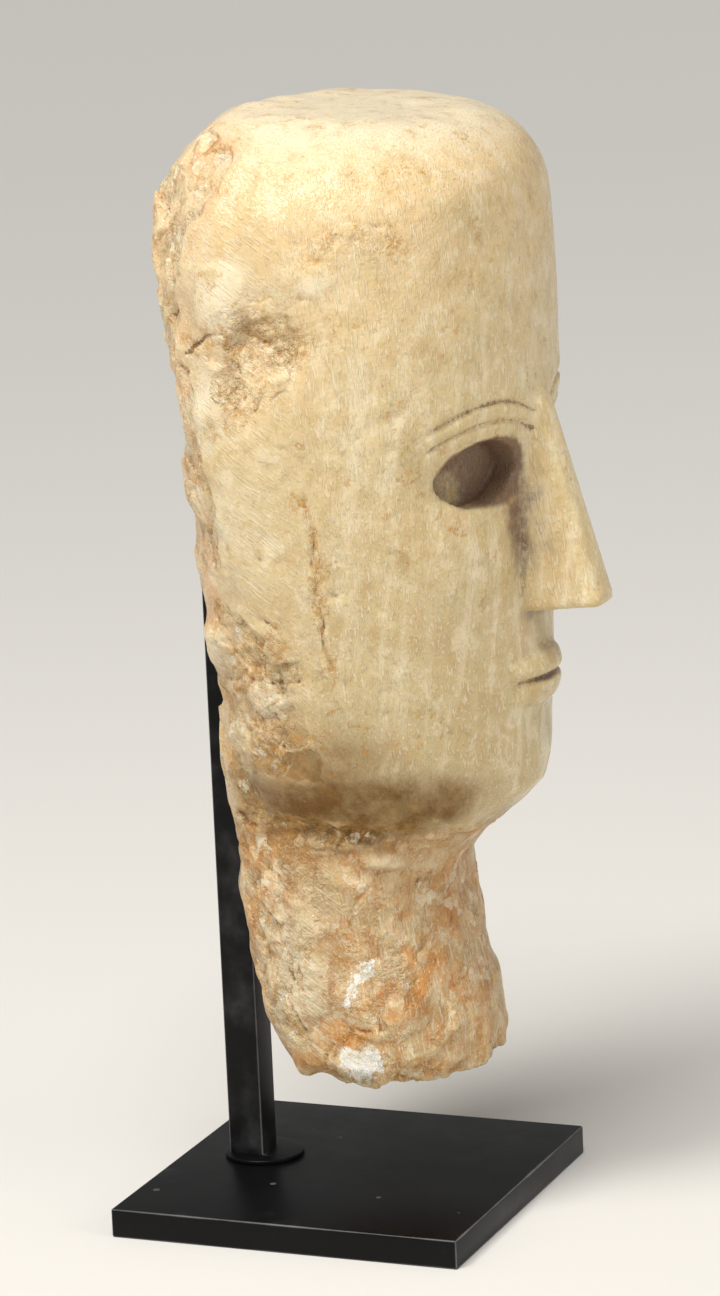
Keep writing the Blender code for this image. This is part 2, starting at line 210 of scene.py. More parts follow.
# Small pits: centre, spread, how many
PITS = (
    ((-55, -53, 224), (4, 9, 5), 12),
    ((-52, -40, 150), (6, 18, 16), 14),
    ((-58, -30, 215), (6, 24, 22), 14),
    ((-61.5, -13, 258), (3, 9, 2.5), 9),
    ((-54, -38, 275), (5, 14, 4), 8),
    ((-60, -10, 200), (6, 14, 24), 8),
    ((55, -30, 200), (6, 26, 40), 18),
    ((0, -60, 262), (40, 8, 20), 14),
)
# Painted marks by kind: centre, spread, strength
MARKS = {
    "soil": (
        ((-61, -11, 246), (9, 13, 12), 0.65),
        ((-60, -3, 236), (8, 7, 6), 0.7),
        ((-58, -30, 274), (9, 10, 5), 0.6),
        ((-51, -42, 272), (8, 10, 4), 0.6),
        ((-47, -18, 136), (9, 10, 5), 0.3),
        ((-60, 7, 247), (8, 7, 3.5), 1),
        ((-55, 5, 288), (6, 6, 4), 0.7),
        ((-57, -21.5, 184), (3, 2, 12), 0.55),
        ((-60, -18, 207), (3, 3, 4), 0.7),
        ((-55, -7, 168), (8, 10, 6), 0.75),
        ((-50, 2, 158), (10, 10, 6), 0.9),
        ((-49, -6, 140), (10, 14, 12), 0.75),
        ((-36, -52, 215), (4, 2.5, 4), 0.6),
        ((-37, -52, 197), (4, 2.5, 4), 0.6),
        ((-45, -42, 173), (4, 3, 4), 0.6),
        ((-46, -46, 210), (4, 2.5, 3), 0.55),
        ((-37, -13, 114), (8, 16, 2.6), 0.95),
        ((-22, -43, 110.5), (6, 6, 2.5), 0.8),
        ((0, 30, 170), (60, 16, 150), 0.55),
        ((58, -12, 240), (8, 12, 12), 0.7),
        ((50, 6, 160), (10, 12, 40), 0.5),
    ),
    "warm": (
        ((-54, 8, 287), (12, 10, 14), 1),
        ((-47, 2, 294), (12, 7, 8), 0.9),
        ((-40, 26, 250), (14, 12, 40), 0.6),
        ((46, 16, 282), (24, 18, 24), 0.7),
        ((-36, 6, 104), (10, 9, 10), 0.8),
        ((-12, -39, 72), (14, 10, 20), 0.7),
        ((-60, -8, 244), (9, 14, 12), 0.75),
        ((-50, 0, 152), (12, 12, 22), 0.7),
        ((-50, 14, 205), (8, 6, 50), 0.65),
        ((-31, -26, 66), (9, 9, 9), 0.8),
    ),
    # Painted shade under the jaw and the chin, together with the olive brown stain there; the weak mark on
    # the lower back only deepens its colour
    "shade": (
        ((-42, -20, 120), (20, 34, 12.5), 1.55),
        ((-49, 2, 150), (12, 13, 22), 0.24),
        ((-46, -14, 131), (20, 30, 18), 0.8),
        ((-34, -42, 121), (16, 15, 10), 1.1),
        ((40, -26, 122), (20, 30, 10), 0.8),
        ((0, -46, 114), (26, 14, 5), 0.6),
        ((-40, 4, 126), (12, 10, 10), 0.8),
    ),
    "pale": (
        ((-62, -1, 258.5), (8, 7, 10), 1.15),
        ((-59, 5, 233), (8, 7, 10), 0.9),
        ((-60, -26, 264), (7, 7, 4), 0.7),
        ((-53, 8, 270), (8, 8, 10), 0.6),
        ((-52, -4, 152), (6, 7, 4.5), 1),
        ((-44, 14, 164), (7, 6, 6), 0.8),
        ((-42, 12, 140), (6, 7, 5), 0.7),
        ((-37, -13, 110.3), (5, 7, 1.8), 0.9),
        ((-30, -27.5, 104.3), (6, 6, 1.9), 0.9),
        ((-36, 1, 76), (10, 10, 15), 1),
        ((-57, 0, 200), (8, 8, 12), 0.5),
        ((-51, 13, 200), (8, 5, 34), 0.55),
    ),
    "chalk": (
        ((-33.3, -18.5, 49), (8, 9, 8.5), 1.25),
        ((20, 10, 52), (8, 6, 7), 0.8),
    ),
    "iron": (
        ((-33, -2, 48), (8, 9, 4.5), 1.15),
        ((-34, -17, 57), (5, 7, 3), 0.6),
        ((24, 6, 46), (9, 8, 4), 0.7),
    ),
}
# Stains along a line: kind, points on it, half width, strength
STREAKS = (
    ("iron", ((-35.2, -8, 53), (-35.8, -14, 56), (-33.2, -23.5, 59), (-30, -29.2, 62.3),
              (-26, -32.5, 66.5), (-24, -34, 71), (-19, -36.5, 74)), 2, 1.15),
    ("chalk", ((-33.2, -22.5, 76.5), (-34.4, -19, 74.5), (-34.8, -17.2, 70.3),
               (-35.1, -16.6, 65.5)), 3.2, 1.08),
    ("soil", ((-59, -20, 208), (-58, -22, 199), (-56.5, -21.5, 185), (-53.7, -21.4, 167.8),
              (-52.3, -23.1, 160)), 1.5, 0.8),
)


def ramp(low, high, value):
    """A smooth rise from 0 at the first number to 1 at the second."""
    t = np.clip((value - low) / (high - low), 0, 1)
    return t * t * (3 - 2 * t)


def bell(value, width):
    """1 where the value is 0, fading on both sides."""
    return np.exp(-((value / width) ** 2))


def linear(red, green, blue):
    """A display colour, 0 to 255 a channel, as the linear colour that shaders take."""
    return tuple((c / 255 / 12.92) if c <= 10 else ((c / 255 + 0.055) / 1.055) ** 2.4
                 for c in (red, green, blue))


GRADIENTS = np.random.default_rng(11).normal(size=(256, 3))
GRADIENTS /= np.linalg.norm(GRADIENTS, axis=1)[:, None]
JITTER = np.random.default_rng(12).random((256, 4))


def scrambled(cells, seed):
    """An index from 0 to 255 for each cell of a lattice."""
    x, y, z = cells.T
    key = x * 73856093 ^ y * 19349663 ^ z * 83492791 ^ seed * 668265263
    key = (key ^ (key >> 15)) * 2246822519 & 0xFFFFFFFF
    key = (key ^ (key >> 13)) * 3266489917 & 0xFFFFFFFF
    return (key ^ (key >> 16)) & 255


def swells(points, size, seed):
    """Smooth noise from about -1 to 1, with one swell in each size, which may differ by axis."""
    points = points / np.asarray(size, float) + 31.7 * seed
    cell = np.floor(points).astype(np.int64)
    part = points - cell
    fade = part**3 * (part * (part * 6 - 15) + 10)
    total = np.zeros(len(points))
    for corner in itertools.product((0, 1), repeat=3):
        push = np.einsum("ij,ij->i", GRADIENTS[scrambled(cell + corner, seed)], part - corner)
        total += push * np.prod(np.where(corner, fade, 1 - fade), axis=1)
    return total * 1.6


def drift(points, size, seed):
    """A push for each point, with noise of its own along each axis."""
    return np.stack([swells(points, size, seed + axis) for axis in range(3)], 1)


def flakes(points, size, seed):
    """Slanted flakes with steps between them, about -1 to 1, their own value from 0 to 1,
    and each point's distance from a flake's border."""
    points = points / size + 17.3 * seed
    cell = np.floor(points).astype(np.int64)
    nearest, second = np.full((2, len(points)), 9.0)
    level, own = np.zeros((2, len(points)))
    for step in itertools.product((-1, 0, 1), repeat=3):
        key = scrambled(cell + step, seed)
        gap = points - (cell + step + JITTER[key, :3])
        away = np.linalg.norm(gap, axis=1)
        closer = away < nearest
        second = np.where(closer, nearest, np.minimum(second, away))
        nearest = np.where(closer, away, nearest)
        slanted = JITTER[key, 3] * 2 - 1 + 1.3 * np.einsum("ij,ij->i", GRADIENTS[255 - key], gap)
        level = np.where(closer, slanted, level)
        own = np.where(closer, JITTER[key, 3], own)
    return level * 0.6, own, second - nearest


def around(points, centre, spread):
    """1 at a place and fading to 0 around it."""
    return np.exp(-(((points - centre) / spread) ** 2).sum(axis=1))


def heaped(points, table, start=0):
    """What the places of a table add up to at each point."""
    return sum((amount * around(points, centre, spread) for centre, spread, amount in table), start)


def scattered(points, centre, spread, count, rng):
    """Indices of points drawn at random around a place."""
    odds = around(points, centre, spread)
    return rng.choice(len(points), count, p=odds / odds.sum())


def gap_to_line(points, line):
    """Each point's distance from a line through a few places."""
    nearest = np.full(len(points), np.inf)
    for start, end in zip(line, line[1:]):
        start, end = np.array(start, float), np.array(end, float)
        along = end - start
        share = np.clip((points - start) @ along / (along @ along), 0, 1)
        nearest = np.minimum(nearest, np.linalg.norm(
            (points - start - share[:, None] * along) * LINE_AXES, axis=1))
    return nearest


def tree_of(targets):
    """A tree that finds the nearest of many places."""
    tree = kdtree.KDTree(len(targets))
    for index, target in enumerate(targets):
        tree.insert(target, index)
    tree.balance()
    return tree


def read_mesh(mesh):
    """Positions in millimetres and normals of a mesh's vertices."""
    points, outward = np.empty((2, len(mesh.vertices) * 3))
    mesh.vertices.foreach_get("co", points)
    mesh.vertex_normals.foreach_get("vector", outward)
    return points.reshape(-1, 3) / MM, outward.reshape(-1, 3)


def write_mask(mesh, name, values):
    """A number for each vertex, which a material reads."""
    layer = mesh.attributes.new(name, "FLOAT", "POINT")
    layer.data.foreach_set("value", values.astype(np.float32))


def neighbour_mean(mesh, values, steps):
    """Values averaged over the neighbours along the edges, a number of times."""
    pairs = np.empty(len(mesh.edges) * 2, np.int64)
    mesh.edges.foreach_get("vertices", pairs)
    first, second = pairs.reshape(-1, 2).T
    count = len(values)
    degree = np.bincount(first, minlength=count) + np.bincount(second, minlength=count)
    for _ in range(steps):
        sums = [np.bincount(first, column[second], count) + np.bincount(second, column[first], count)
                for column in values.T]
        values = (values + np.stack(sums, 1) / degree[:, None]) / 2
    return values


def finished(name, shape):
    """A mesh of a shape, which is freed."""
    mesh = bpy.data.meshes.new(name)
    shape.to_mesh(mesh)
    shape.free()
    return mesh


def in_scene(name, data):
    """A new object in the scene's collection."""
    item = bpy.data.objects.new(name, data)
    bpy.context.scene.collection.objects.link(item)
    return item


def new_piece(name, mesh, material, node):
    """An object for a mesh, which stands for a solid and rides on the body."""
    piece = in_scene(name, mesh)
    mesh.materials.clear()
    mesh.materials.append(material)
    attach(piece, "root")
    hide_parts(node)


def with_modifier(mesh, kind, weights=None, **values):
    """The mesh that a modifier makes, with weights for the vertex group that it names."""
    holder = in_scene("holder", mesh)
    if weights is not None:
        group = holder.vertex_groups.new(name=values["vertex_group"])
        levels = np.round(weights * WEIGHT_STEPS).astype(int)
        for level in np.unique(levels):
            group.add(np.flatnonzero(levels == level).tolist(), float(level) / WEIGHT_STEPS, "REPLACE")
    modifier = holder.modifiers.new(kind, kind)
    for key, value in values.items():
        setattr(modifier, key, value)
    shaped = bpy.data.meshes.new_from_object(
        holder.evaluated_get(bpy.context.evaluated_depsgraph_get()))
    bpy.data.objects.remove(holder)
    return shaped


# The head's surface


def merged_solid(node):
    """A copy of a solid with its doubles merged, and points along its sharp edges."""
    copy = bmesh.new()
    copy.from_mesh(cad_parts[node].data)
    bmesh.ops.remove_doubles(copy, verts=copy.verts, dist=DOUBLES)
    sharp = []
    for edge in copy.edges:
        if len(edge.link_faces) == 2 and edge.calc_face_angle() > SHARP_TURN:
            start, end = (vert.co / MM for vert in edge.verts)
            steps = max(1, int((end - start).length))
            sharp += [start.lerp(end, step / steps) for step in range(steps + 1)]
    return finished(node, copy), sharp


def smooth_stone():
    """The head's solid as a fine mesh, without facets, its carved edges kept."""
    mesh, sharp = merged_solid("head")
    mesh = with_modifier(mesh, "REMESH", mode="VOXEL", voxel_size=VOXEL * MM)
    points, _ = read_mesh(mesh)
    behind = ramp(*BACK_FROM, points[:, 1])
    edges = tree_of([point for point in sharp if point.y < 0 or abs(point.x) < 12])
    free = ramp(*EDGE_KEPT, np.array([edges.find(point)[2] for point in points]))
    weights = np.maximum(EDGE_SMOOTHING, free * (1 - 0.5 * behind))
    return with_modifier(mesh, "SMOOTH", weights, factor=0.5, iterations=SMOOTH_STEPS,
                         vertex_group="free")


def chip_depths(points, wavering, rng):
    """How deep overlapping bowl-shaped chips go, and how clean their faces are."""
    deepest, clean = np.zeros((2, len(points)))
    for centre, spread, count, small, large, share in CHIPS:
        picked = scattered(points, centre, spread, count, rng)
        for index, chance, fresh in zip(picked, rng.random(count), rng.random(count)):
            radius = small * (large / small) ** chance
            slant = rng.normal(size=3)
            offset = (wavering - points[index]) / radius
            shape = 1 - (offset**2).sum(axis=1)
            bowl = radius * share * (shape + 0.5 * offset @ slant / np.linalg.norm(slant))
            deeper = (shape > 0) & (bowl > deepest)
            deepest = np.where(deeper, bowl, deepest)
            clean = np.where(deeper, fresh**2 * ramp(0, 0.4, shape), clean)
    return deepest, clean


def broken_surface(points, behind, rng):
    """How broken the surface is, its relief in millimetres, and how clean its breaks are."""
    wavering = points + (1.6 * drift(points, 7, 31) + 0.5 * drift(points, 2.6, 61))
    deepest, clean = chip_depths(points, wavering, rng)
    broken = 0.3 * behind + 0.34 * swells(points, 13, 34) + 0.16 * swells(points, 5, 35)
    broken = ramp(0.42, 0.66, heaped(points, BROKEN, broken))
    large, own, border = flakes(wavering, 10, 36)
    small, _, small_border = flakes(wavering, 4.2, 37)
    relief = (0.85 * large + 0.3 * small - 0.3 * np.exp(-border / 0.08)
              - 0.1 * np.exp(-small_border / 0.12) + 0.15 * swells(points, 1.9, 38)) - 0.7
    return broken, deepest - broken * relief, np.maximum(clean, broken * ramp(0.5, 0.9, own))


def crack_depths(points):
    """How deep the cracks are cut, along lines that waver."""
    total = np.zeros(len(points))
    wavering = points + 1.3 * drift(points, 5, 3)
    uneven = 0.55 + 0.45 * swells(points, 6, 9)
    for line, half_width, depth in CRACKS:
        total = np.maximum(total, depth * bell(gap_to_line(wavering, line), half_width) * uneven)
    return total


def face_lines(points):
    """Depth of the carved lines over the eyes and between the lips."""
    x, y, z = points.T
    across = np.abs(x) - EYE_X
    total = np.zeros(len(points))
    for top, depth in BROWS:
        low = z - (top - BROW_RADIUS)
        gap = np.hypot(across, low) - BROW_RADIUS
        end = ramp(BROW_HALF_TURN, BROW_HALF_TURN * 0.8, np.abs(np.arctan2(across, low)))
        total = np.maximum(total, depth * end * bell(gap, 0.75))
    parted = ramp(MOUTH_HALF, MOUTH_HALF * 0.7, np.abs(x))
    total = np.maximum(total, 0.9 * parted * bell(z - MOUTH_Z, 0.65))
    return total * (y < -35)


def pit_depths(points, rng):
    """Small ragged pits, most of them shallow."""
    total = np.zeros(len(points))
    ragged = points + 0.9 * drift(points, 1.8, 51)
    for centre, spread, count in PITS:
        for index in scattered(points, centre, spread, count, rng):
            size = rng.uniform(0.6, 2.2, 3)
            depth = rng.uniform(0.15, 0.7)
            total = np.maximum(total, depth * around(ragged, points[index], size))
    return total


def places(points):
    """How much each point belongs to the hewn back, the neck, the sockets and the foot."""
    x, y, z = points.T
    waver = swells(points, 14, 1)
    behind = ramp(*BACK_FROM, y + 4 * waver)
    neck = ramp(JAW_Z + 3, JAW_Z - 5, z + 2.5 * waver)
    from_eye = np.hypot((np.abs(x) - EYE_X) / EYE_HALF[0], (z - EYE_Z) / EYE_HALF[1])
    socket = ramp(1.25, 0.95, from_eye) * (y < -20)
    foot = ramp(FOOT_Z + 9, FOOT_Z + 2, z)
    return behind, neck, socket, foot


def neck_relief(points, neck):
    """The neck's uneven surface, calmer on its smooth boss."""
    lumpy = neck * (1 - 0.8 * around(points, *BOSS))
    wide, _, border = flakes(points + 2.5 * swells(points, 9, 61)[:, None], 14, 62)
    return lumpy * (0.45 * swells(points, (10, 10, 15), 13) + 0.15 * swells(points, 5, 14)
                    + 0.6 * wide * ramp(0, 0.12, border) + 0.07 * swells(points, 2.1, 15))


def jaw_crease(points):
    """The cut between the jaw and the neck, with a low rim above it."""
    above = points[:, 2] - (CREASE_Z - 0.0061 * (points[:, 1] + 18)**2 + 0.8 * swells(points, 12, 63))
    cut = 0.25 + 1.5 * swells(points, 13, 64)
    return cut * (0.6 * bell(above - 2.6, 2.0) - 0.9 * bell(above, 1.1))


def crumbled(points):
    """How deep the crumbly areas are sunk, in thin slanting layers."""
    crumbly = np.clip(heaped(points, CRUMBLY) * (1 + 0.5 * swells(points, 6, 65)), 0, 1.2)
    ridges = 1 - np.abs(swells(points + 1.6 * drift(points, 8, 66), (6, 8, 2.8), 18)) * 1.6
    return 0.6 * crumbly * (1.0 - 0.55 * ridges + 0.15 * swells(points, 1.7, 19))


def carved_stone(settings):
    """The weathered surface of the head, how broken it is and how clean its breaks are."""
    mesh = smooth_stone()
    rng = np.random.default_rng(23)
    points, outward = read_mesh(mesh)
    behind, neck, socket, foot = places(points)
    face = ramp(-38, -52, points[:, 1]) * (1 - neck)
    rise = (1 - 0.6 * face) * (0.34 * swells(points, 19, 6) + 0.13 * swells(points, 7, 7))
    rise += ramp(286, 298, points[:, 2]) * 0.45 * swells(points, 12, 8)
    rise += settings.hewn_depth / MM * behind * (swells(points, 16, 10) + 0.4 * swells(points, 7, 11))
    rise += neck_relief(points, neck)
    rise += jaw_crease(points)
    rise += foot * (0.9 * swells(points, 8, 16) + 0.4 * swells(points, 3.4, 17))
    broken, deepest, clean = broken_surface(points, behind, rng)
    rise -= settings.chip_depth * (1 - socket) * deepest
    rise += heaped(points, LOBES)
    edged = points + 1.5 * drift(points, 6, 71)
    for centre, half, height in LUMPS:
        rise += height * np.sqrt(np.clip(1 - (((edged - centre) / half) ** 2).sum(axis=1), 0, 1))
    rise -= crumbled(points)
    rise -= crack_depths(points) + pit_depths(points, rng) + face_lines(points)
    beside_post = ramp(0.2, 0.8, around(points, *BESIDE_POST))
    rise = np.minimum(rise, 0) + np.maximum(rise, 0) * (1 - beside_post)
    mesh.vertices.foreach_set("co", ((points + outward * rise[:, None]) * MM).ravel())
    mesh.update()
    share = MOST_TRIANGLES / (2 * len(mesh.polygons))
    shaped = with_modifier(mesh, "DECIMATE", ratio=share)
    tree = tree_of([vert.co for vert in mesh.vertices])
    source = np.array([tree.find(vert.co)[1] for vert in shaped.vertices])
    return shaped, broken[source], clean[source]


def paint(mesh, broken, clean):
    """Writes the masks that the material reads, one attribute for each."""
    points, outward = read_mesh(mesh)
    behind, neck, socket, foot = places(points)
    waver = drift(points, 9, 21)
    moved = points + 3.2 * waver
    masks = {kind: np.max([strength * around(moved, centre, spread)
                           for centre, spread, strength in marks], axis=0)
             for kind, marks in MARKS.items()}
    for kind, line, half_width, strength in STREAKS:
        gap = gap_to_line(points + 1.4 * waver, line)
        masks[kind] = np.maximum(masks[kind], strength * bell(gap, half_width))
    near = neighbour_mean(mesh, points, 5)
    wide = neighbour_mean(mesh, near, 45)
    fine, broad = (np.einsum("ij,ij->i", mean - points, outward) for mean in (near, wide))
    masks["hollow"] = np.clip(0.5 + fine / 0.34, 0, 1) * 0.6 + np.clip(0.5 + broad / 1.8, 0, 1) * 0.4
    masks["warm"] = np.clip(masks["warm"] + 0.85 * neck * (0.75 + 0.5 * swells(points, 16, 24))
                            + 0.5 * behind, 0, 1) * (1 - 0.8 * around(points, *CLEAR_NECK))
    masks["soil"] = np.clip(masks["soil"] + 0.3 * neck + 0.2 * foot, 0, 1)
    masks["crack"] = np.clip(crack_depths(points) / 0.75, 0, 1) ** 1.5
    masks["crumb"] = np.clip(heaped(moved, CRUMBLY), 0, 1)
    masks["iron"] = np.maximum(masks["iron"], 0.75 * foot * ramp(-0.2, 0.5, swells(points, 11, 25)))
    # The upper part of each socket is painted darker as its shadow, and shade is painted under the nose
    # and between the lips; the nose sides carry a stain
    upper = ramp(EYE_Z - 2, EYE_Z + 7, points[:, 2])
    masks["umber_and_shade"] = np.clip(socket * (0.55 + 0.45 * upper) + 0.75 * around(np.abs(moved), *NOSE_SIDE)
                             + 0.9 * around(points, *UNDER_NOSE)
                             + 0.8 * around(points, *BETWEEN_LIPS), 0, 1)
    masks["worked"] = np.clip(1 - broken - 0.6 * neck - foot - 0.3 * masks["soil"], 0, 1)
    masks["fresh"] = broken * clean * (1 - 0.5 * neck)
    masks["soil"] = np.clip(masks["soil"] + 0.35 * broken * (1 - clean), 0, 1)
    masks["neck"] = neck
    for name, values in masks.items():
        write_mask(mesh, name, values)
    mesh.shade_smooth()


# Materials


class Recipe:
    """Adds nodes to a material or group and links them, left to right."""

    def __init__(self, tree):
        self.tree = tree
        self.tree.nodes.clear()

    def add(self, kind, values=(), **settings):
        node = self.tree.nodes.new(kind)
        for key, value in settings.items():
            setattr(node, key, value)
        self.fill(node, dict(values))
        return node

    def fill(self, node, values):
        for key, value in values.items():
            self.put(value, node.inputs[key])

    def put(self, value, socket):
        if isinstance(value, bpy.types.NodeSocket):
            self.tree.links.new(value, socket)
        elif isinstance(value, bpy.types.Node):
            self.tree.links.new(value.outputs[0], socket)
        elif socket.type == "RGBA" and len(value) == 3:
            socket.default_value = (*value, 1)
        else:
            socket.default_value = value

    def mask(self, name):
        return self.add("ShaderNodeAttribute", attribute_name=name).outputs["Fac"]

    def maths(self, operation, *values):
        return self.add("ShaderNodeMath", dict(enumerate(values)), operation=operation)

    def times(self, first, second):
        return self.maths("MULTIPLY", first, second)

    def plus(self, first, second):
        return self.maths("ADD", first, second)

    def vectors(self, operation, *values):
        return self.add("ShaderNodeVectorMath", dict(enumerate(values)), operation=operation)

    def range(self, value, low, high, out_low=0.0, out_high=1.0):
        return self.add("ShaderNodeMapRange", {"Value": value, "From Min": low, "From Max": high,
                                               "To Min": out_low, "To Max": out_high},
                        interpolation_type="SMOOTHSTEP")

    def mix(self, share, first, second, blend="MIX"):
        return self.add("ShaderNodeMix", {"Factor": share, 6: first, 7: second}, data_type="RGBA",
                        blend_type=blend).outputs[2]

    def coated(self, colour, coats):
        """A colour under several coats, each of them a share, a colour and perhaps a blend."""
        for share, coat, *blend in coats:
            colour = self.mix(share, colour, coat, *blend)
        return colour

    def along(self, place, lean, stretch):
        """The place drawn out along a line that leans from upright, in degrees, on the sides."""
        return self.add("ShaderNodeMapping", {"Vector": place, "Scale": Vector((1, 1, stretch)),
                                              "Rotation": Vector((math.radians(lean), 0, 0))},
                        vector_type="TEXTURE")

    def facets(self, place, size, slope):
        """Relief of slanted facets, and a tone from 0 to 1 of each."""
        cells = self.add("ShaderNodeTexVoronoi", {"Vector": place, "Scale": 1 / (size * MM)})
        lean = self.vectors("SUBTRACT", cells.outputs["Color"], (0.5, 0.5, 0.5))
        gap = self.vectors("SUBTRACT", place, cells.outputs["Position"])
        height = self.vectors("DOT_PRODUCT", lean, gap)
        tone = self.add("ShaderNodeSeparateColor", {"Color": cells.outputs["Color"]})
        return self.times(height.outputs["Value"], 2 * slope / BUMP), tone.outputs["Blue"]

    def noise(self, place, size, detail, rough):
        """Noise whose swells are size millimetres apart."""
        return self.add("ShaderNodeTexNoise", {"Vector": place, "Scale": 1 / (size * MM),
                                               "Detail": detail, "Roughness": rough}).outputs["Fac"]

    def off_middle(self, noise):
        """How far a noise is from its middle, which is 0 along thin winding lines."""
        return self.maths("ABSOLUTE", self.maths("SUBTRACT", noise, 0.5))


def speck_group():
    """Small scattered specks: a mask of where they lie, by size and by share."""
    group = bpy.data.node_groups.new("specks", "ShaderNodeTree")
    sockets = group.interface
    sockets.new_socket("Place", in_out="INPUT", socket_type="NodeSocketVector")
    for name, value in (("Size", 1.0), ("Share", 0.3)):
        sockets.new_socket(name, in_out="INPUT", socket_type="NodeSocketFloat").default_value = value
    sockets.new_socket("Mask", in_out="OUTPUT", socket_type="NodeSocketFloat")
    make = Recipe(group)
    given = make.add("NodeGroupInput").outputs
    scale = make.maths("DIVIDE", 1 / MM, given["Size"])
    cells = make.add("ShaderNodeTexVoronoi", {"Vector": given["Place"], "Scale": scale}).outputs
    chance = make.add("ShaderNodeSeparateColor", {"Color": cells["Color"]}).outputs
    chosen = make.maths("LESS_THAN", chance["Red"], given["Share"])
    inside = make.maths("LESS_THAN", cells["Distance"], make.times(chance["Green"], 0.35))
    make.add("NodeGroupOutput", {"Mask": make.times(chosen, inside)})
    return group


def specks(make, place, size, share):
    group = bpy.data.node_groups.get("specks") or speck_group()
    return make.add("ShaderNodeGroup", {"Place": place, "Size": size, "Share": share},
                    node_tree=group).outputs["Mask"]


def new_recipe(name):
    """A new material, the recipe that fills it, and its shader."""
    material = bpy.data.materials.new(name)
    material.use_nodes = True
    make = Recipe(material.node_tree)
    shader = make.add("ShaderNodeBsdfPrincipled")
    make.add("ShaderNodeOutputMaterial", {"Surface": shader})
    return material, make, shader


